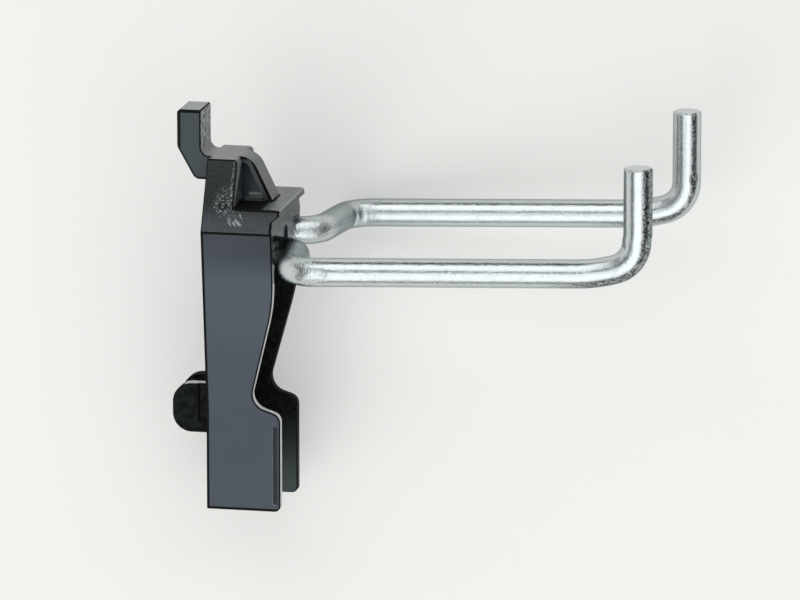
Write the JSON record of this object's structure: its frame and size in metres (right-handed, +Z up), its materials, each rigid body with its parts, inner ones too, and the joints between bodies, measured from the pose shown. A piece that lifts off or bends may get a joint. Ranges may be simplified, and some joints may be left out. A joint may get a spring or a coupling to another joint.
{
  "type": "double tool hook",
  "caption": "Moulded clip that hooks into a perforated panel and carries one bent wire with two parallel prongs, turned up at the ends, to hang tools on.",
  "frame": {"origin": "on the clip's back face, at its lower edge, midway between the two prongs", "axes": "+X away from the panel along the prongs, +Y across from prong to prong, +Z up"},
  "size_m": [0.089, 0.055, 0.0707],
  "materials": {
    "moulded_plastic": "satin black moulding",
    "plated_wire": "bright zinc plate"
  },
  "bodies": {
    "root": {"moulded_clip": "moulded_plastic", "wire_hook": "plated_wire"}
  },
  "joints": []
}
